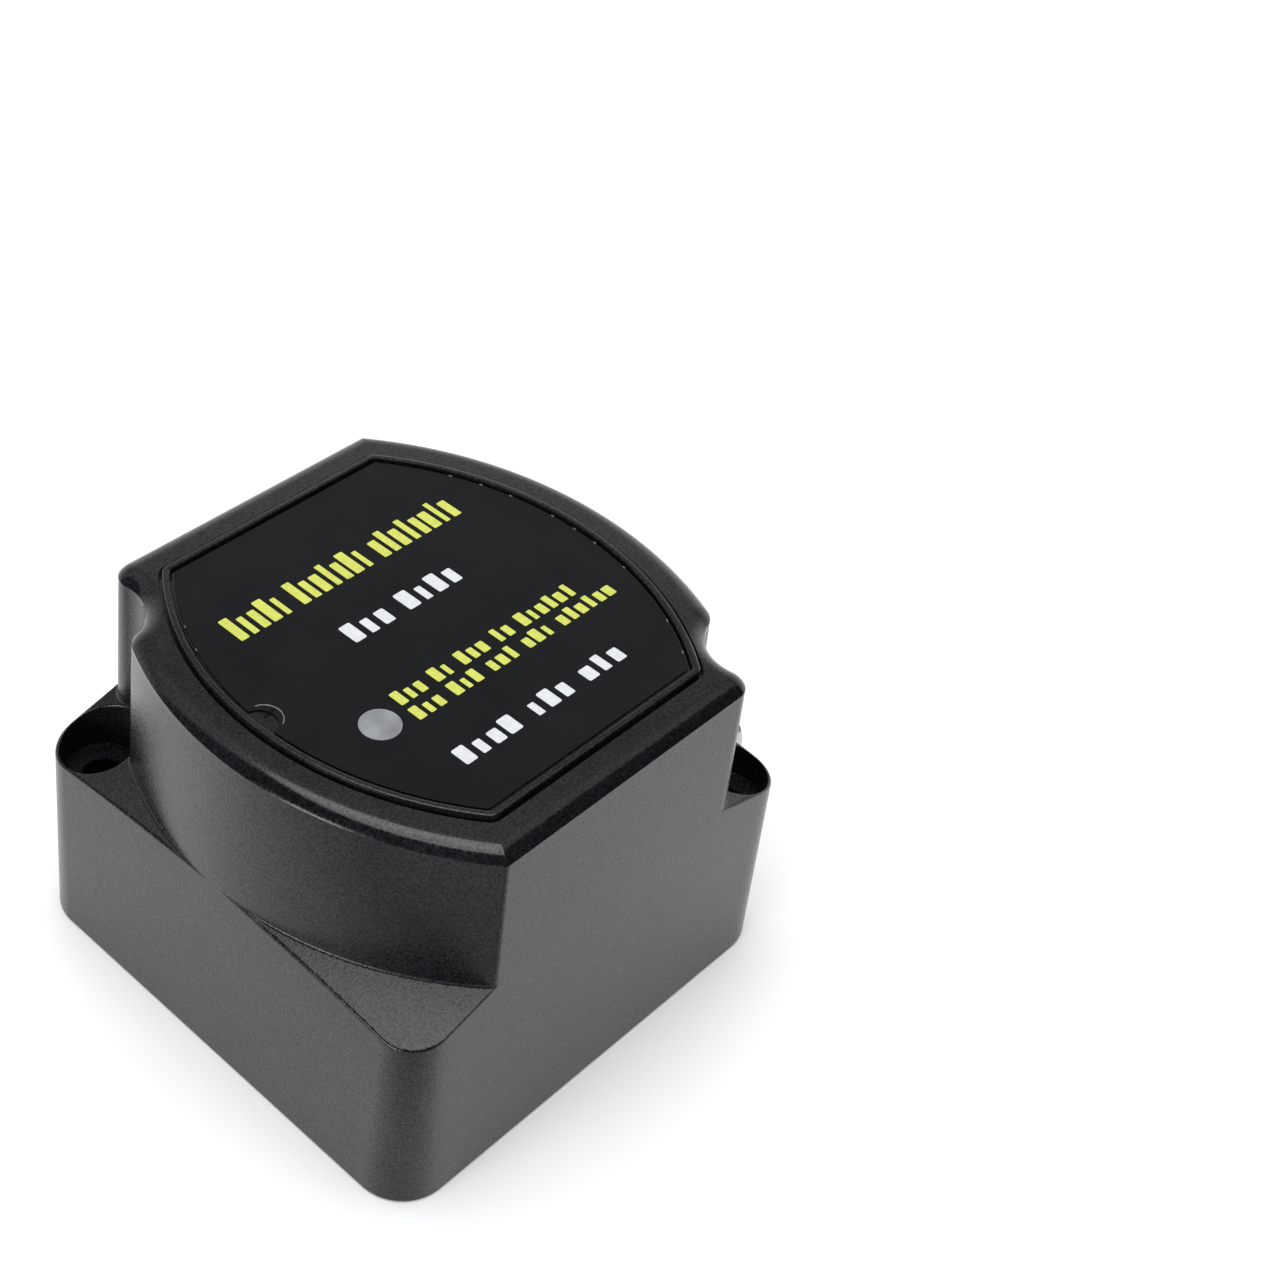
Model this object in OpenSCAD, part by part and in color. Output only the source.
// Battery isolator relay: a sealed 12 volt coil relay in a moulded housing, bolted down through two
// corner lugs, with two terminal studs and a sensing board that works the coil.
// Millimetres. The origin is the middle of the underside, +Z is up, +X is the terminal side.

/* [Housing] */
// Length of each side of the square base, at the underside
base_side = 68; // [64:0.5:80]
// Height of the housing, from the underside to the flat top
body_height = 50; // [48:0.5:60]
// Draft of the outer walls, in degrees
draft_angle = 3.4; // [1:0.1:4]
// Radius of the base's upright corners, at the underside
base_corner_r = 6.5; // [5:0.25:8]
// Height of the shoulder at the middle of a curved side
shoulder_height = 28.6; // [27:0.2:30]
// Slope of the shoulder away from the barrel, in degrees
shoulder_fall = 17.7; // [12:0.1:20]
// Distance of the shoulder's cone axis past the middle
shoulder_axis = 39; // [30:1:45]
// Radius of the two curved sides of the barrel, at the underside
barrel_r = 50.4; // [46:0.2:60]
// Radius of the barrel's top edge
top_fillet_r = 2.2; // [1.5:0.1:2.6]
// Chamfer round the foot of the walls
foot_chamfer = 0.5; // [0.3:0.1:0.8]
// Thickness of the outer walls
wall = 2.2; // [1.8:0.1:2.6]
// Thickness of the top
top_wall = 2.2; // [1.8:0.1:2.6]

/* [Mounting lugs] */
// Distance of a mounting hole from the two base sides next to it
hole_inset = 7; // [6.5:0.1:7.5]
// Diameter of a mounting hole
mount_hole_d = 5.5; // [4.5:0.1:6.5]
// Diameter of the recess for a screw head and washer
recess_d = 10.2; // [9.8:0.1:10.4]
// Depth of the recess below the shoulder, at the hole's axis
recess_depth = 6; // [4:0.5:8]
// Diameter of the tool notch in the barrel, at the top
notch_d = 12.8; // [12:0.1:14]
// Rounding of the two ears beside a notch
ear_r = 3; // [2:0.1:3.4]

/* [Label and rim] */
// Half width of the raised rim across the flat sides
rim_half_y = 26.5; // [25:0.1:27]
// Half width of the raised rim across the curved sides
rim_half_x = 26.5; // [25:0.1:27]
// Radius of the rim's curved sides
rim_side_r = 41; // [38:0.5:45]
// Rounding of the rim's four corners
rim_corner_r = 1.6; // [1:0.1:2.5]
// Width of the rim
rim_w = 1.1; // [0.8:0.1:1.4]
// Height of the rim above the top
rim_h = 0.5; // [0.3:0.05:0.8]
// Thickness of the label
label_t = 0.2; // [0.1:0.05:0.3]
// Gap between the label and the rim
label_gap = 0.3; // [0.1:0.05:0.5]
// Radius of the half-round moulding gate at the rim
gate_r = 1.8; // [1.2:0.1:2.2]

/* [Indicator] */
// Distance of the indicator from the middle, towards the curved side
window_x = 15.8; // [14:0.1:17]
// Distance of the indicator from the middle, towards the bare flat side
window_y = 8.7; // [6:0.1:10]
// Diameter of the frosted window
window_d = 4.8; // [4:0.1:5.5]
// Diameter of the lamp under the window
lamp_d = 3; // [2.6:0.1:3.4]

/* [Terminals] */
// Diameter of the terminal studs
stud_d = 8; // [7:0.5:8]
// Distance between the two studs
stud_pitch = 20; // [19:0.5:21]
// Height of the studs above the underside
stud_z = 10.5; // [10:0.1:12]
// Thread that stands past the outer nut
stud_tip = 0.9; // [0.5:0.1:3]
// Width of a stud nut across its flats
nut_af = 13; // [12:0.5:13]
// Thickness of the thin nut that locks the stud to the wall
lock_nut_t = 4; // [3:0.5:5]
// Thickness of the outer nut
outer_nut_t = 6.5; // [5:0.5:8]
// Diameter of the flat washer
washer_d = 16; // [15:0.5:17]
// Thickness of the flat washer
washer_t = 1.6; // [1:0.1:2]
// Wire of the split spring washer
spring_washer_t = 2; // [1.4:0.1:2.4]
// Reach of the barrier between the studs past the base side
barrier_reach = 9; // [6:0.5:14]
// Diameter of the hole for the ground lead's grommet
grommet_hole_d = 6; // [5:0.5:6.5]
// Height of the grommet above the underside
grommet_z = 20; // [19.5:0.1:20.5]
// Bore of the grommet
grommet_bore_d = 2.6; // [2:0.1:3]

/* [Base plate] */
// Thickness of the base plate
plate_t = 2; // [1.6:0.1:2.4]
// Thickness of the gasket above it
gasket_t = 0.8; // [0.6:0.1:1]
// Width of the housing's lip round the base plate
lip_w = 1.2; // [1:0.1:1.4]
// Diameter of the base screws
base_screw_d = 3; // [2.6:0.1:3.4]

/* [Coil] */
// Distance of the coil's axis from the middle, away from the terminals
coil_offset = 6; // [5:0.5:7]
// Diameter of the plunger
plunger_d = 8; // [7:0.5:8.5]
// Wall of the bobbin's tube
bobbin_wall = 1.2; // [1:0.1:1.5]
// Thickness of the bobbin's flanges
flange_t = 1.2; // [1:0.1:1.5]
// Outer diameter of the winding
winding_d = 24; // [20:0.5:25]
// Height of the bobbin
bobbin_h = 15; // [14:0.25:16]
// Thickness of the yoke's plates
yoke_t = 2.5; // [2:0.1:2.6]
// Width of the yoke along the terminal direction
yoke_w = 24; // [20:0.5:25]
// Length of the fixed core above the yoke
core_h = 6.5; // [5:0.25:8]

/* [Contacts] */
// Free travel between the open contacts
contact_gap = 1.8; // [1.4:0.1:2.2]
// Diameter of the contact tips
tip_d = 6; // [5:0.25:6.5]
// Thickness of a contact tip
tip_t = 1; // [0.8:0.1:1.2]
// Thickness of the fixed contact bars
bar_t = 2; // [1.6:0.1:2.2]
// Width of the fixed contact bars
bar_w = 11; // [10:0.25:12]
// Thickness of the insulating contact block
block_t = 1.5; // [1.2:0.1:2]
// Thickness of the moving bridge
bridge_t = 2; // [1.6:0.1:2.4]
// Width of the moving bridge
bridge_w = 8; // [7:0.5:9]
// Diameter of the plunger's rod
rod_d = 3; // [2.6:0.1:3.2]
// Wire of the two coil springs
spring_wire_d = 0.7; // [0.5:0.05:0.9]
// Mean diameter of the two coil springs
spring_d = 5.6; // [5.2:0.1:6]
// Length of the contact spring as fitted
contact_spring_h = 4.2; // [3.6:0.2:5]

/* [Circuit board] */
// Thickness of the board
board_t = 1.6; // [1.2:0.1:1.6]
// Gap between the board and the inside of the top
board_gap = 5.2; // [5:0.1:6]
// Gap between the board's edge and the flat walls
board_margin_y = 5.1; // [4.5:0.1:6]
// Gap between the board's edge and the curved walls
board_margin_x = 4.1; // [3.6:0.1:5]
// Distance of the board's screws from the middle, each way
post_xy = 17; // [16:0.25:18]
// Diameter of the board's screws
board_screw_d = 2.2; // [2:0.1:2.5]

/* [Hidden] */

// Overrun of every cut past the face that it opens
over = 1;
// Running gap between the armature and its guides, on the radius
run_gap = 0.08;
// Seating gap of pieces that drop into place
fit_gap = 0.15;
// Gap that keeps stacked pieces from sharing a face
seat_gap = 0.02;
// Steps of each rounded edge and corner
edge_steps = 4;
// Steps of half of a curved side
side_steps = 12;
// Number of facets on true round parts
$fn = 48;

// Outline of the body
slope = tan(draft_angle);
half = base_side / 2;
arc_x = barrel_r - half;
shoulder_slope = tan(shoulder_fall);
hole_xy = half - hole_inset;
notch_r = notch_d / 2;
shoulder_apex = shoulder_height + shoulder_slope * (half + shoulder_axis);
recess_floor = shoulder_apex - shoulder_slope * norm([hole_xy + shoulder_axis, hole_xy]) - recess_depth;
lug_wall = 1.6;
lug_r = recess_d / 2 + lug_wall;
ear_min_r = 0.2;
function drafted(z) = half - slope * z;
function notch_at(z) = notch_r - slope * (body_height - z);

// Inside of the body
cover_seat = plate_t + gasket_t;
cavity_half = half - wall;
cavity_top = body_height - top_wall;
pocket_half = half - lip_w;
pocket_r = base_corner_r - lip_w;
plate_half = pocket_half - fit_gap;
notch_clear_r = lug_r + fit_gap;

// Stack of the coil, from the base plate up
coil_x = -coil_offset;
yoke_z = plate_t;
bobbin_z = yoke_z + yoke_t;
bobbin_top = bobbin_z + bobbin_h;
top_plate_z = bobbin_top;
block_z = top_plate_z + yoke_t;
bar_z = block_z + block_t;
fixed_tip_z = bar_z + bar_t;
moving_tip_z = fixed_tip_z + tip_t + contact_gap;
bridge_z = moving_tip_z + tip_t;
travel = contact_gap - 2 * seat_gap;
plunger_r = plunger_d / 2;
tube_bore_r = plunger_r + run_gap;
tube_r = tube_bore_r + bobbin_wall;
flange_r = winding_d / 2 + bobbin_wall / 2;
yoke_gap = 0.3;
yoke_half_y = flange_r + yoke_gap + yoke_t;
core_top = bobbin_z + core_h;
plunger_z = core_top + contact_gap + seat_gap;
rod_r = rod_d / 2;
groove_share = 0.7;
seat_t = 0.6;
seat_r = spring_d / 2 + spring_wire_d / 2 + run_gap;
contact_spring_z = bridge_z + bridge_t;
cap_z = contact_spring_z + contact_spring_h;
cap_t = 0.6;
clip_z = cap_z + cap_t;
clip_t = 0.6;
rod_top = clip_z + clip_t + cap_t;
tip_y = stud_pitch / 2 - block_t / 2;
bar_y = stud_pitch / 2;
grommet_lip = 1.2;
bridge_half_y = tip_y + tip_d / 2 + seat_t;

// Terminal side
pad_x = drafted(cover_seat) - wall - slope * bar_z - fit_gap;
pad_half_y = bar_y + bar_w / 2 + wall;
pad_top = fixed_tip_z + seat_t;
bar_x = pad_x - bar_t;
head_t = 5.3;
boss_r = washer_d / 2 + seat_t;
boss_x = drafted(stud_z) + boss_r * slope + seat_t / 2;
stud_end_x = boss_x + lock_nut_t + washer_t + spring_washer_t + outer_nut_t + stud_tip;
sense_x = coil_x + yoke_w / 2 + 3 * base_screw_d;
bar_end_x = coil_x - tip_d / 2 - seat_t;
bar_screw_d = base_screw_d;
bar_screw_x = coil_x + yoke_w / 2 + bar_screw_d + fit_gap;
barrier_t = 2;
barrier_top = stud_z + boss_r + wall;
grommet_y = pad_half_y + grommet_hole_d / 2 + grommet_lip / 2 + run_gap;

// Board and indicator
board_z = cavity_top - board_gap - board_t;
board_top = board_z + board_t;
board_half_y = cavity_half - fit_gap - slope * board_top - board_margin_y;
board_half_x = cavity_half - fit_gap - slope * board_top - board_margin_x;
board_side_r = 40;
post_r = board_screw_d / 2 + wall / 2 + seat_t;
window_xy = [-window_x, -window_y];
window_flange_t = 0.8;
window_flange_r = window_d / 2 + wall / 2;
pin_d = 0.9;

// Points of an arc about c, from angle a0 to a1 in n steps
function arc(c, r, a0, a1, n) =
  [for (i = [0 : n]) let (a = a0 + (a1 - a0) * i / n) c + r * [cos(a), sin(a)]];

function bearing(from, to) = atan2(to[1] - from[1], to[0] - from[0]);

// Point at distance r1 from p and r2 from s, on the side that is given as 1 or -1
function meeting_point(p, r1, s, r2, side) =
  let (d = norm(s - p), along = (r1 * r1 - r2 * r2 + d * d) / (2 * d), u = (s - p) / d)
  p + along * u + side * sqrt(r1 * r1 - along * along) * [-u[1], u[0]];

// Square outline with round corners, counterclockwise
function rounded_square(h, r) =
  [for (k = [0 : 3]) each let (q = [[1, 1], [-1, 1], [-1, -1], [1, -1]][k])
    arc((h - r) * q, r, 90 * k, 90 * (k + 1), edge_steps * 2)];

// Outline with two flat sides and two curved ones, whose corners are rounded
function lens_quarter(hx, hy, side_r, corner_r) =
  let (cx = hx - side_r, qy = hy - corner_r, dx = sqrt(pow(side_r - corner_r, 2) - qy * qy))
  concat(arc([cx, 0], side_r, 0, atan2(qy, dx), side_steps),
    arc([cx + dx, qy], corner_r, atan2(qy, dx), 90, edge_steps));
function lens_outline(hx, hy, side_r, corner_r) =
  let (q = lens_quarter(hx, hy, side_r, corner_r),
    h = concat(q, [for (i = [len(q) - 1 : -1 : 1]) [-q[i][0], q[i][1]]]))
  concat(h, [for (p = h) -p]);

// Curved side of the barrel with its tool notch, from the bare flat side to the terminal corner
function notched_side(z, inset) =
  let (p = [arc_x, 0], s = [-hole_xy, hole_xy],
    ra = barrel_r - slope * z - inset, rs = notch_at(z) + inset, re = max(ear_r - inset, ear_min_r),
    low = meeting_point(p, ra - re, s, rs + re, 1), high = meeting_point(p, ra - re, s, rs + re, -1),
    past = asin((half + over) / ra), low_b = bearing(p, low), high_b = bearing(p, high))
  concat(arc(p, ra, 180 + past, low_b, side_steps),
    arc(low, re, low_b, bearing(low, s), edge_steps),
    arc(s, rs, bearing(low, s) - 180, bearing(high, s) + 180, edge_steps * 2),
    arc(high, re, bearing(high, s) + 360, high_b, edge_steps),
    arc(p, ra, high_b, 180 - past, edge_steps));

// Side points run clockwise, so the ring of both sides is turned round
function barrel_ring(z, inset) =
  let (side = notched_side(z, inset), both = concat(side, [for (q = side) -q]))
  [for (i = [len(both) - 1 : -1 : 0]) both[i]];

// Heights and insets of the rings that form the walls and the rounded top edge
function edge_rings(z0) = concat([[z0, 0]],
  [for (i = [0 : edge_steps]) let (a = 90 * i / edge_steps)
    [body_height - top_fillet_r * (1 - sin(a)), top_fillet_r * (1 - cos(a))]]);

// Solid through rings of points, with flat ends that fan out from the middle
module loft(rings, heights) {
  n = len(rings[0]);
  m = len(rings);
  side_points = [for (k = [0 : m - 1]) each [for (q = rings[k]) [q[0], q[1], heights[k]]]];
  ends = [[0, 0, heights[0]], [0, 0, heights[m - 1]]];
  walls = [for (k = [0 : m - 2], i = [0 : n - 1]) let (j = (i + 1) % n)
    each [[k * n + i, (k + 1) * n + i, (k + 1) * n + j], [k * n + i, (k + 1) * n + j, k * n + j]]];
  floor_fan = [for (i = [0 : n - 1]) [m * n, i, (i + 1) % n]];
  roof_fan = [for (i = [0 : n - 1]) [m * n + 1, (m - 1) * n + (i + 1) % n, (m - 1) * n + i]];
  polyhedron(concat(side_points, ends), concat(walls, floor_fan, roof_fan));
}

// Square block with round corners and drafted walls
module base_block() {
  rings = concat([[0, foot_chamfer]], edge_rings(foot_chamfer));
  loft([for (q = rings) rounded_square(drafted(q[0]) - q[1], base_corner_r - slope * q[0] - q[1] / 2)],
    [for (q = rings) q[0]]);
}

module barrel_block() {
  rings = edge_rings(shoulder_height / 2);
  loft([for (q = rings) barrel_ring(q[0], q[1])], [for (q = rings) q[0]]);
}

// Two cones whose upper surfaces are the shoulders of both curved sides, lowered by drop
module shoulder_cones(drop) {
  h = shoulder_apex - drop + over;
  intersection() {
    translate([shoulder_axis, 0, -over]) cylinder(h = h, r1 = h / shoulder_slope, r2 = 0);
    translate([-shoulder_axis, 0, -over]) cylinder(h = h, r1 = h / shoulder_slope, r2 = 0);
  }
}

// Block along X whose flat sides lean in with the draft
module leaning_block(half_y, z0, z1, reach) {
  rotate([90, 0, 90])
    linear_extrude(height = 2 * reach, center = true)
      polygon([[-half_y + slope * z0, z0], [half_y - slope * z0, z0],
        [half_y - slope * z1, z1], [-half_y + slope * z1, z1]]);
}

module at_lugs() {
  for (s = [1, -1])
    translate([-s * hole_xy, s * hole_xy, 0]) children();
}

module at_base_screws() {
  boss_inset = cavity_half - lug_wall - base_screw_d;
  for (s = [1, -1]) {
    translate([s * boss_inset, s * boss_inset, 0]) children();
    translate([-s * hole_xy / 2, s * boss_inset, 0]) children();
  }
}

module at_posts() {
  for (sx = [1, -1], sy = [1, -1])
    translate([sx * post_xy, sy * post_xy, 0]) children();
}

// Things on the terminal side, along +X from x
module at_studs(x) {
  for (s = [1, -1])
    translate([x, s * stud_pitch / 2, stud_z]) rotate([0, 90, 0]) children();
}

module housing_air() {
  difference() {
    union() {
      translate([0, 0, -over])
        linear_extrude(height = cover_seat + over) polygon(rounded_square(pocket_half, pocket_r));
      intersection() {
        loft([for (z = [cover_seat - over, shoulder_height + wall])
          rounded_square(cavity_half - slope * z, base_corner_r - wall)],
          [cover_seat - over, shoulder_height + wall]);
        shoulder_cones(wall / cos(shoulder_fall));
      }
      intersection() {
        leaning_block(cavity_half - fit_gap, shoulder_height / 2, cavity_top, half);
        both_arcs();
      }
    }
    at_lugs() translate([0, 0, -over * 2]) cylinder(h = shoulder_height + over * 2, r = lug_r);
    at_lugs() translate([0, 0, shoulder_height / 2])
      cylinder(h = body_height, r = notch_r + wall);
    at_base_screws() translate([0, 0, plate_t]) cylinder(h = body_height, r = base_screw_d);
    at_posts() translate([0, 0, board_top]) cylinder(h = body_height, r = post_r);
    translate([pad_x, -pad_half_y, cover_seat]) cube([half, 2 * pad_half_y, pad_top - cover_seat]);
  }
}

// Space inside both curved walls
module both_arcs() {
  z0 = shoulder_height / 2 - over;
  z1 = cavity_top + over;
  r = barrel_r - wall - fit_gap;
  intersection() {
    translate([-arc_x, 0, z0]) cylinder(h = z1 - z0, r1 = r - slope * z0, r2 = r - slope * z1);
    translate([arc_x, 0, z0]) cylinder(h = z1 - z0, r1 = r - slope * z0, r2 = r - slope * z1);
  }
}

module rim() {
  difference() {
    linear_extrude(height = rim_h + wall / 2)
      polygon(lens_outline(rim_half_x, rim_half_y, rim_side_r, rim_corner_r));
    translate([0, 0, -over]) linear_extrude(height = rim_h + wall / 2 + 2 * over)
      polygon(lens_outline(rim_half_x - rim_w, rim_half_y - rim_w, rim_side_r - rim_w, rim_corner_r - rim_w / 2));
  }
  translate([rim_w - rim_half_x, 0, 0]) cylinder(h = rim_h / 2 + wall / 2, r = gate_r);
}

module barrier() {
  tip = barrier_t;
  translate([0, barrier_t / 2, 0])
    rotate([90, 0, 0])
      linear_extrude(height = barrier_t)
        polygon([[half - wall, foot_chamfer], [half + barrier_reach - tip, foot_chamfer],
          [half + barrier_reach, foot_chamfer + tip], [half + barrier_reach, barrier_top - 2 * tip],
          [half + barrier_reach - 2 * tip, barrier_top], [half - wall, barrier_top]]);
}

module housing() {
  color("#26282b")
    difference() {
      union() {
        intersection() {
          base_block();
          union() {
            barrel_block();
            shoulder_cones(0);
          }
        }
        translate([0, 0, body_height - wall / 2]) rim();
        at_studs(half - wall) cylinder(h = boss_x - half + wall, r = boss_r);
        barrier();
      }
      housing_air();
      at_lugs() translate([0, 0, -over]) cylinder(h = body_height, d = mount_hole_d);
      at_lugs() translate([0, 0, recess_floor]) cylinder(h = body_height, d = recess_d);
      at_studs(pad_x - over) cylinder(h = half, r = stud_d / 2 + run_gap);
      at_base_screws() translate([0, 0, plate_t - over])
        cylinder(h = shoulder_height / 2, d = base_screw_d);
      at_posts() translate([0, 0, board_top - over])
        cylinder(h = board_gap + top_wall / 2 + over, d = board_screw_d);
      translate([half - 2 * wall, grommet_y, grommet_z]) rotate([0, 90, 0])
        cylinder(h = 2 * wall + over, d = grommet_hole_d);
      translate([window_xy[0], window_xy[1], cavity_top - over])
        cylinder(h = top_wall + 2 * over, d = window_d + fit_gap);
    }
}

module label() {
  edge = rim_w + label_gap;
  color("#151618")
    translate([0, 0, body_height])
      linear_extrude(height = label_t)
        difference() {
          polygon(lens_outline(rim_half_x - edge, rim_half_y - edge, rim_side_r - edge, rim_corner_r / 2));
          translate([rim_w - rim_half_x, 0]) circle(r = gate_r + label_gap);
          translate(window_xy) circle(d = window_d + fit_gap);
        }
}

module led_window() {
  color("#8b8e90")
    translate([window_xy[0], window_xy[1], 0]) {
      translate([0, 0, cavity_top - window_flange_t]) cylinder(h = window_flange_t, r = window_flange_r);
      translate([0, 0, cavity_top - window_flange_t])
        cylinder(h = window_flange_t + top_wall + label_t, d = window_d);
    }
}

// Countersunk screw that points up from z = 0
module countersunk(d, length) {
  cylinder(h = d / 2, r1 = d, r2 = d / 2);
  cylinder(h = length, d = d);
}

module plate_outline(inset) {
  difference() {
    polygon(rounded_square(plate_half - inset, pocket_r - fit_gap - inset));
    at_lugs() circle(r = notch_clear_r + inset);
  }
}

module base_plate() {
  color("#2e3033")
    difference() {
      linear_extrude(height = plate_t) plate_outline(0);
      at_base_screws() translate([0, 0, -seat_gap]) countersunk(base_screw_d + fit_gap, plate_t + over);
      at_yoke_screws() translate([0, 0, -seat_gap]) countersunk(base_screw_d + fit_gap, plate_t + over);
    }
}

module gasket() {
  color("#141414")
    translate([0, 0, plate_t])
      linear_extrude(height = gasket_t)
        difference() {
          plate_outline(0);
          plate_outline(wall);
        }
}

module base_screws() {
  color("#b9bcc0")
    at_base_screws() countersunk(base_screw_d, shoulder_height / 2 - over);
}

module at_yoke_screws() {
  for (s = [1, -1])
    translate([coil_x + s * yoke_w / 3, 0, 0]) children();
}

module yoke_screws() {
  color("#b9bcc0")
    at_yoke_screws() countersunk(base_screw_d, plate_t + yoke_t - seat_gap);
}

module yoke() {
  tab_w = yoke_w / 4;
  color("#a9abad")
    difference() {
      union() {
        translate([coil_x - yoke_w / 2, -yoke_half_y, yoke_z]) cube([yoke_w, 2 * yoke_half_y, yoke_t]);
        for (s = [1, -1])
          translate([coil_x, s * (yoke_half_y - yoke_t / 2), yoke_z]) {
            translate([-yoke_w / 2, -yoke_t / 2, 0]) cube([yoke_w, yoke_t, yoke_t + bobbin_h]);
            translate([-tab_w / 2, -yoke_t / 4, 0]) cube([tab_w, yoke_t / 2, 2 * yoke_t + bobbin_h]);
          }
      }
      translate([coil_x, 0, yoke_z - over]) cylinder(h = yoke_t + 2 * over, r = plunger_r / 2 + rod_r / 2);
      at_yoke_screws() translate([0, 0, yoke_z - over]) cylinder(h = yoke_t + 2 * over, d = base_screw_d);
    }
}

module yoke_top_plate() {
  tab_w = yoke_w / 4 + 2 * fit_gap;
  tab_t = yoke_t / 2 + 2 * fit_gap;
  color("#a9abad")
    difference() {
      translate([coil_x - yoke_w / 2, -yoke_half_y, top_plate_z]) cube([yoke_w, 2 * yoke_half_y, yoke_t]);
      translate([coil_x, 0, top_plate_z - over]) cylinder(h = yoke_t + 2 * over, r = tube_bore_r + run_gap);
      for (s = [1, -1])
        translate([coil_x - tab_w / 2, s * (yoke_half_y - yoke_t / 2) - tab_t / 2, top_plate_z - over])
          cube([tab_w, tab_t, yoke_t + 2 * over]);
      at_block_screws() translate([0, 0, top_plate_z - over]) cylinder(h = yoke_t + 2 * over, d = board_screw_d);
    }
}

module fixed_core() {
  shank_r = plunger_r / 2 + rod_r / 2;
  color("#9a9c9e")
    translate([coil_x, 0, 0]) {
      translate([0, 0, yoke_z]) cylinder(h = yoke_t, r = shank_r - seat_gap);
      translate([0, 0, bobbin_z]) cylinder(h = core_h, r = plunger_r);
    }
}

module bobbin() {
  pin_block = flange_t * 2;
  color("#e8e2d0")
    difference() {
      union() {
        translate([coil_x, 0, bobbin_z]) {
          cylinder(h = bobbin_h, r = tube_r);
          cylinder(h = flange_t, r = flange_r);
          translate([0, 0, bobbin_h - flange_t]) cylinder(h = flange_t, r = flange_r);
        }
        translate([coil_x - flange_r - wall, -pin_block * 2, bobbin_top - pin_block])
          cube([flange_r + wall - winding_d / 2 - fit_gap, pin_block * 4, pin_block]);
      }
      translate([coil_x, 0, bobbin_z - over]) cylinder(h = bobbin_h + 2 * over, r = tube_bore_r);
      at_coil_pins() translate([0, 0, bobbin_top - pin_block - over])
        cylinder(h = pin_block + 2 * over, d = pin_d);
    }
}

module coil_winding() {
  color("#a8562a")
    translate([coil_x, 0, bobbin_z + flange_t])
      difference() {
        cylinder(h = bobbin_h - 2 * flange_t, d = winding_d);
        translate([0, 0, -over]) cylinder(h = bobbin_h, r = tube_r);
      }
}

module at_coil_pins() {
  for (s = [1, -1])
    translate([coil_x - flange_r - wall / 2, s * flange_t * 2, 0]) children();
}

module coil_pins() {
  color("#c9c9c4")
    at_coil_pins() translate([0, 0, bobbin_top - flange_t * 2])
      cylinder(h = board_top + pin_d - bobbin_top + flange_t * 2, d = pin_d);
}

module at_block_screws() {
  for (s = [1, -1])
    translate([coil_x + s * yoke_w / 3, 0, 0]) children();
}

module at_bar_screws() {
  for (s = [1, -1])
    translate([bar_screw_x, s * bar_y, 0]) children();
}

// Insulating plate under the bars, with a boss past the yoke for each bar screw
module contact_block() {
  x0 = coil_x - yoke_w / 2;
  block_half_y = bar_y + bar_w / 2 + seat_t;
  color("#6b3a22")
    difference() {
      union() {
        translate([x0, -block_half_y, block_z])
          cube([sense_x + wall - x0, 2 * block_half_y, block_t]);
        at_bar_screws() translate([0, 0, block_z - yoke_t]) cylinder(h = yoke_t + block_t, r = bar_screw_d);
      }
      translate([coil_x, 0, block_z - over]) cylinder(h = block_t + 2 * over, r = rod_r + run_gap);
      at_bar_screws() translate([0, 0, block_z - bobbin_h]) cylinder(h = 2 * bobbin_h, d = bar_screw_d);
      at_block_screws() translate([0, 0, block_z - over]) cylinder(h = block_t + 2 * over, d = board_screw_d);
    }
}

// Pan-head screw that points down from z = 0, head above
module pan_head(d, length) {
  head_share = 0.9;
  cylinder(h = d / 2, r = d * head_share);
  translate([0, 0, -length]) cylinder(h = length, d = d);
}

module block_screws() {
  color("#b9bcc0")
    at_block_screws() translate([0, 0, block_z + block_t]) pan_head(board_screw_d, block_t + yoke_t);
}

module bar_screws() {
  color("#b9bcc0")
    at_bar_screws() translate([0, 0, fixed_tip_z]) pan_head(bar_screw_d, bar_t + block_t + yoke_t);
}

// Copper angle from a stud's head, up the wall pad and in over the coil
module contact_bar(side) {
  foot_z = stud_z - nut_af / 2;
  color("#b87345")
    translate([0, side * bar_y, 0])
      difference() {
        union() {
          translate([bar_x, -bar_w / 2, foot_z]) cube([bar_t, bar_w, fixed_tip_z - foot_z]);
          translate([bar_end_x, -bar_w / 2, bar_z]) cube([pad_x - bar_end_x, bar_w, bar_t]);
        }
        translate([bar_x - over, 0, stud_z]) rotate([0, 90, 0])
          cylinder(h = bar_t + 2 * over, r = stud_d / 2 + run_gap);
        translate([bar_screw_x, 0, bar_z - over]) cylinder(h = bar_t + 2 * over, r = bar_screw_d / 2 + run_gap);
        translate([sense_x, 0, bar_z - over]) cylinder(h = bar_t + 2 * over, d = pin_d);
      }
}

module bar_left() { contact_bar(1); }

module bar_right() { contact_bar(-1); }

module at_tips(z) {
  for (s = [1, -1])
    translate([coil_x, s * tip_y, z]) children();
}

module fixed_tips() {
  color("#d9dadb")
    at_tips(fixed_tip_z) cylinder(h = tip_t, d = tip_d);
}

module sense_pins() {
  color("#c9c9c4")
    for (s = [1, -1])
      translate([sense_x, s * bar_y, bar_z]) cylinder(h = board_top + pin_d - bar_z, d = pin_d);
}

// Hexagon, flats up and down, along +Z
module hex_prism(af, h) {
  cylinder(h = h, r = af / sqrt(3), $fn = 6);
}

module stud(side) {
  tip = seat_t;
  translate([bar_x, side * stud_pitch / 2, stud_z]) rotate([0, 90, 0]) {
    translate([0, 0, -head_t]) hex_prism(nut_af, head_t);
    cylinder(h = stud_end_x - bar_x - tip, d = stud_d);
    translate([0, 0, stud_end_x - bar_x - tip]) cylinder(h = tip, r1 = stud_d / 2, r2 = stud_d / 2 - tip);
  }
}

module stud_left() {
  color("#c08a4c") stud(1);
}

module stud_right() {
  color("#c5c8cb") stud(-1);
}

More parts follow.
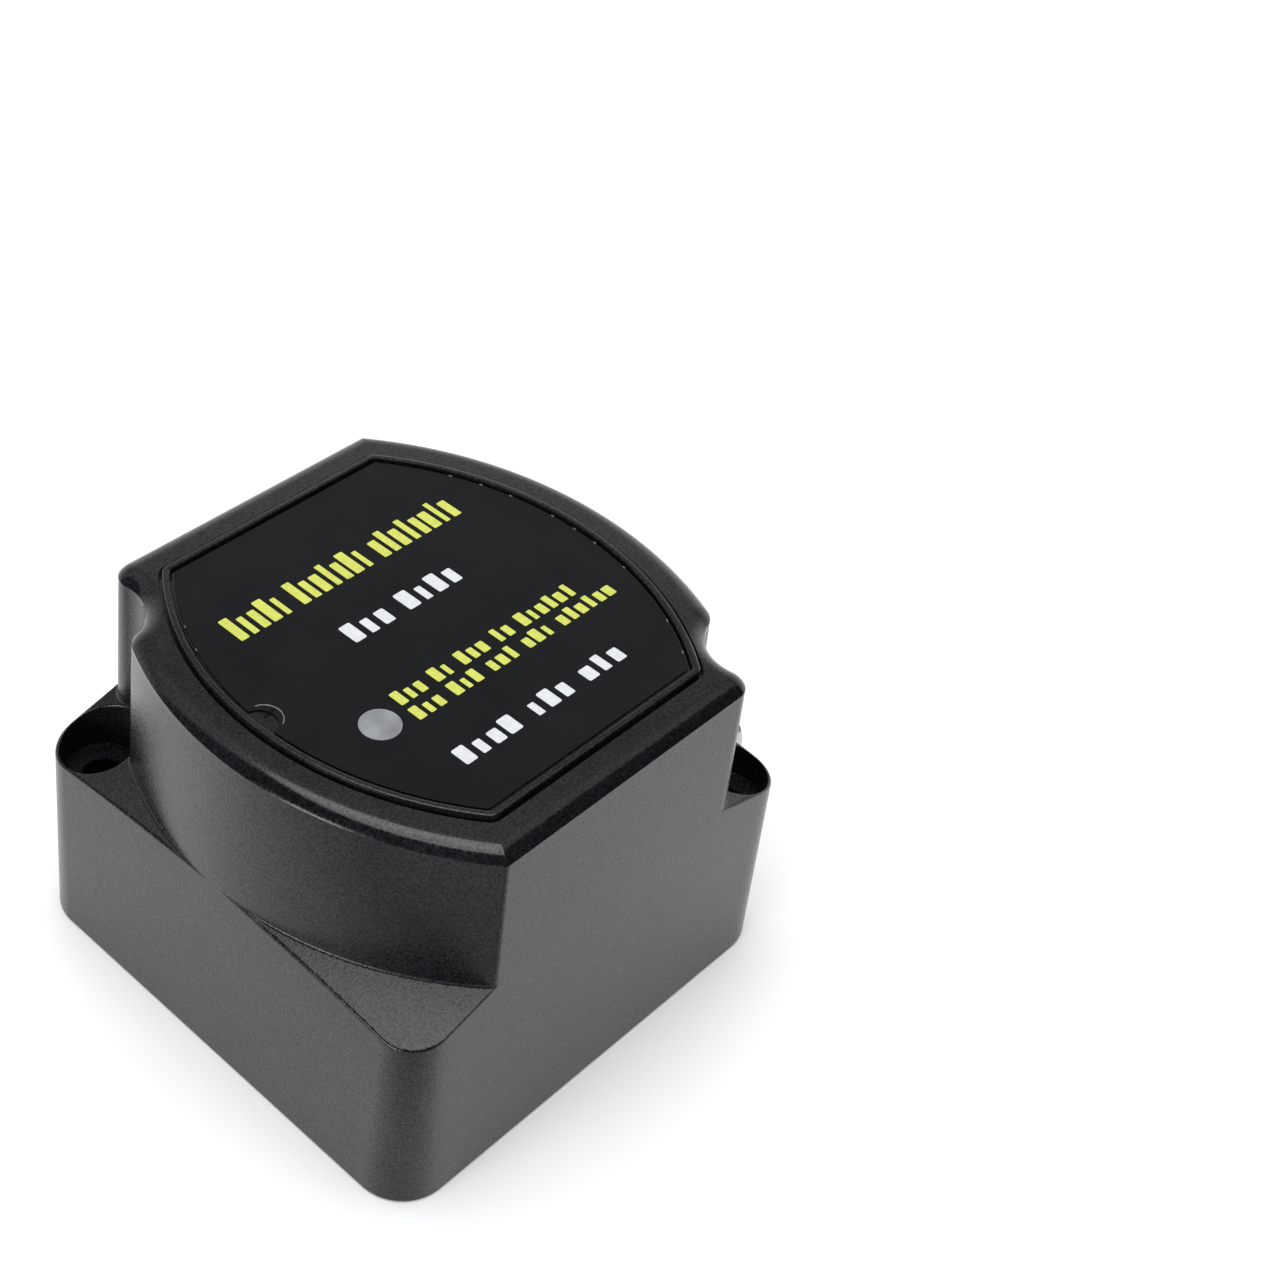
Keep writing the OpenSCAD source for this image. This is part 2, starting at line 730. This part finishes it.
// Hexagon nut whose outer face is rounded off at the corners
module hex_nut(af, h) {
  difference() {
    intersection() {
      hex_prism(af, h);
      cylinder(h = h, r1 = af / 2 + h, r2 = af / 2);
    }
    translate([0, 0, -over]) cylinder(h = h + 2 * over, r = stud_d / 2 + seat_gap);
  }
}

lock_nut_x = boss_x;
flat_washer_x = lock_nut_x + lock_nut_t;
spring_washer_x = flat_washer_x + washer_t;
outer_nut_x = spring_washer_x + spring_washer_t;

module lock_nuts() {
  color("#c5a15a")
    at_studs(lock_nut_x) hex_nut(nut_af, lock_nut_t);
}

module flat_washers() {
  color("#c5a15a")
    at_studs(flat_washer_x)
      difference() {
        cylinder(h = washer_t, d = washer_d);
        translate([0, 0, -over]) cylinder(h = washer_t + 2 * over, r = stud_d / 2 + run_gap);
      }
}

// Split ring whose ends stand a little apart
module spring_washers() {
  ring_r = stud_d / 2 + fit_gap;
  color("#b9bcc0")
    at_studs(spring_washer_x)
      difference() {
        cylinder(h = spring_washer_t, r = ring_r + spring_washer_t);
        translate([0, 0, -over]) cylinder(h = spring_washer_t + 2 * over, r = ring_r);
        rotate([0, 20, 0]) translate([0, -seat_t / 2, -stud_d]) cube([stud_d * 2, seat_t, stud_d * 3]);
      }
}

module outer_nuts() {
  color("#c5a15a")
    at_studs(outer_nut_x) hex_nut(nut_af, outer_nut_t);
}

// Rubber bush in the wall, with a lip on each side of it
module grommet() {
  x_in = drafted(grommet_z) - wall;
  color("#1c1c1c")
    translate([0, grommet_y, grommet_z]) rotate([0, 90, 0])
      difference() {
        union() {
          translate([0, 0, x_in - grommet_lip])
            cylinder(h = wall + 2 * grommet_lip, d = grommet_hole_d - seat_gap);
          translate([0, 0, x_in - grommet_lip - fit_gap * 2]) cylinder(h = grommet_lip, d = grommet_hole_d + grommet_lip);
          translate([0, 0, x_in + wall + fit_gap * 2])
            cylinder(h = grommet_lip, d1 = grommet_hole_d + 2 * grommet_lip, d2 = grommet_hole_d);
        }
        translate([0, 0, x_in - wall]) cylinder(h = 4 * wall, d = grommet_bore_d);
      }
}

module plunger() {
  color("#8f9193")
    translate([coil_x, 0, plunger_z])
      difference() {
        cylinder(h = block_z - plunger_z - seat_gap, r = plunger_r);
        translate([0, 0, plunger_r]) cylinder(h = block_z, r = rod_r);
      }
}

module plunger_rod() {
  groove_z = clip_z - plunger_z - plunger_r;
  color("#c9cbcd")
    translate([coil_x, 0, plunger_z + plunger_r])
      difference() {
        cylinder(h = rod_top - plunger_z - plunger_r, r = rod_r);
        translate([0, 0, groove_z])
          difference() {
            cylinder(h = clip_t, r = rod_r + over);
            translate([0, 0, -over]) cylinder(h = clip_t + 2 * over, r = rod_r * groove_share);
          }
      }
}

// Round washer on the rod, at height z
module rod_washer(z, t, r) {
  translate([coil_x, 0, z])
    difference() {
      cylinder(h = t, r = r);
      translate([0, 0, -over]) cylinder(h = t + 2 * over, r = rod_r);
    }
}

module bridge_seat() {
  color("#2f2f31") rod_washer(bridge_z - seat_t, seat_t, seat_r);
}

module contact_bridge() {
  color("#b87345")
    difference() {
      translate([coil_x - bridge_w / 2, -bridge_half_y, bridge_z]) cube([bridge_w, 2 * bridge_half_y, bridge_t]);
      translate([coil_x, 0, bridge_z - over]) cylinder(h = bridge_t + 2 * over, r = rod_r);
    }
}

module moving_tips() {
  color("#d9dadb")
    at_tips(moving_tip_z) cylinder(h = tip_t, d = tip_d);
}

module spring_cap() {
  color("#b9bcc0") rod_washer(cap_z, cap_t, seat_r);
}

// Clip in the rod's groove, open to one side
module retaining_clip() {
  color("#9a9c9e")
    translate([coil_x, 0, clip_z])
      difference() {
        cylinder(h = clip_t, r = rod_r * 2);
        translate([0, 0, -over]) cylinder(h = clip_t + 2 * over, r = rod_r * groove_share);
        translate([0, -rod_r * groove_share, -over]) cube([rod_r * 3, 2 * rod_r * groove_share, clip_t + 2 * over]);
      }
}

// Round wire wound about +Z, as one tube with flat-ended wire
module coil_spring(length, turns) {
  wire_sides = 6;
  turn_steps = 14;
  wire_r = spring_wire_d / 2;
  rise = length - spring_wire_d - 2 * seat_gap;
  n = turns * turn_steps;
  points = [for (i = [0 : n], k = [0 : wire_sides - 1])
    let (a = 360 * i / turn_steps, b = 360 * k / wire_sides + 30, r = spring_d / 2 + wire_r * cos(b))
    [r * cos(a), r * sin(a), wire_r + seat_gap + rise * i / n + wire_r * sin(b)]];
  tube = [for (i = [0 : n - 1], k = [0 : wire_sides - 1])
    let (j = (k + 1) % wire_sides, p = i * wire_sides, q = p + wire_sides)
    each [[p + k, p + j, q + j], [p + k, q + j, q + k]]];
  start = [[for (k = [wire_sides - 1 : -1 : 0]) k]];
  finish = [[for (k = [0 : wire_sides - 1]) n * wire_sides + k]];
  polyhedron(points, concat(tube, start, finish));
}

module contact_spring() {
  color("#b9bcc0")
    translate([coil_x, 0, contact_spring_z]) coil_spring(contact_spring_h, 3);
}

// Spring between the contact block and the seat under the bridge
module return_spring() {
  color("#b9bcc0")
    translate([coil_x, 0, bar_z]) coil_spring(bridge_z - seat_t - bar_z, 3.5);
}

module board_outline() {
  polygon(lens_outline(board_half_x, board_half_y, board_side_r, rim_corner_r));
}

module circuit_board() {
  color("#1d5a35")
    difference() {
      translate([0, 0, board_z]) linear_extrude(height = board_t) board_outline();
      at_posts() translate([0, 0, board_z - over]) cylinder(h = board_t + 2 * over, r = board_screw_d / 2 + run_gap);
      at_coil_pins() translate([0, 0, board_z - over]) cylinder(h = board_t + 2 * over, d = pin_d);
      for (s = [1, -1])
        translate([sense_x, s * bar_y, board_z - over]) cylinder(h = board_t + 2 * over, d = pin_d);
    }
}

module board_screws() {
  color("#b9bcc0")
    at_posts() translate([0, 0, board_z]) mirror([0, 0, 1]) pan_head(board_screw_d, board_t + board_gap - over);
}

module led_lamp() {
  lamp_r = lamp_d / 2;
  body_h = cavity_top - window_flange_t - board_top - lamp_r - seat_t / 2;
  color("#7fae6a")
    translate([window_xy[0], window_xy[1], board_top]) {
      cylinder(h = seat_t, r = lamp_r + seat_t / 2);
      cylinder(h = body_h, r = lamp_r);
      translate([0, 0, body_h])
        intersection() {
          sphere(r = lamp_r);
          cylinder(h = lamp_d, d = lamp_d);
        }
    }
}

// Chip of size s that stands on the board at xy, with feet of length foot along both long sides
module chip(xy, s, foot, count) {
  gap_share = 0.35;
  lift_share = 0.08;
  lift = s[2] * lift_share;
  pitch = s[0] / count;
  translate([xy[0], xy[1], board_top]) {
    translate([-s[0] / 2, -s[1] / 2, lift]) cube([s[0], s[1], s[2] - lift]);
    for (i = [0 : count - 1], side = [1, -1])
      translate([-s[0] / 2 + (i + gap_share / 2) * pitch, side * s[1] / 2 - (side < 0 ? foot : 0), 0])
        cube([pitch * (1 - gap_share), foot, s[2] / 2]);
  }
}

// Chips: the length of a foot, then length, width and height of each kind
chip_foot = 1;
mcu_l = 8.7;
mcu_w = 3.9;
regulator_l = 6.5;
regulator_w = 3.5;
small_chip_h = 1.6;
driver_l = 6.6;
driver_w = 6.1;
diode_l = 7;
diode_w = 5.8;
power_chip_h = 2.3;
resistor_l = 2;
resistor_w = 1.25;
resistor_h = 0.55;
board_row_y = board_half_y / 3;
regulator_row_share = 1.2;
resistor_row_share = 2.3;

module microcontroller() {
  mcu = [mcu_l, mcu_w, small_chip_h];
  color("#1a1a1c") chip([board_half_x / 5, board_row_y, 0], mcu, chip_foot, 7);
}

module voltage_regulator() {
  regulator = [regulator_l, regulator_w, small_chip_h];
  color("#1a1a1c") chip([-board_half_x / 3, board_row_y * regulator_row_share, 0], regulator, chip_foot, 3);
}

module coil_driver() {
  driver = [driver_l, driver_w, power_chip_h];
  color("#1a1a1c") chip([-board_half_x / 6, -board_row_y, 0], driver, chip_foot, 3);
}

module clamp_diodes() {
  diode = [diode_l, diode_w, power_chip_h];
  color("#202022")
    for (s = [0, 1])
      chip([board_half_x / 3, -board_row_y - s * (diode[1] + 3 * chip_foot), 0], diode, chip_foot, 1);
}

module capacitors() {
  fill_share = 0.65;
  can_share = 0.44;
  can_h = (board_z - fixed_tip_z - bar_screw_d / 2) * fill_share;
  color("#2b3038")
    for (s = [1, -1])
      translate([board_half_x / 3, s * board_half_y / 2, board_z - can_h]) cylinder(h = can_h, r = can_h * can_share);
}

module chip_resistors() {
  resistor = [resistor_l, resistor_w, resistor_h];
  count = 6;
  color("#3a3a3c")
    for (i = [0 : count - 1])
      translate([-board_half_x / 2 + i * 2 * resistor[0], board_row_y * resistor_row_share, board_top])
        cube(resistor);
}

housing();
label();
led_window();
base_plate();
gasket();
base_screws();
yoke_screws();
yoke();
yoke_top_plate();
fixed_core();
bobbin();
coil_winding();
coil_pins();
contact_block();
block_screws();
bar_left();
bar_right();
bar_screws();
fixed_tips();
sense_pins();
stud_left();
stud_right();
lock_nuts();
flat_washers();
spring_washers();
outer_nuts();
grommet();
plunger();
plunger_rod();
bridge_seat();
contact_bridge();
moving_tips();
contact_spring();
spring_cap();
retaining_clip();
return_spring();
circuit_board();
board_screws();
led_lamp();
microcontroller();
voltage_regulator();
coil_driver();
clamp_diodes();
capacitors();
chip_resistors();
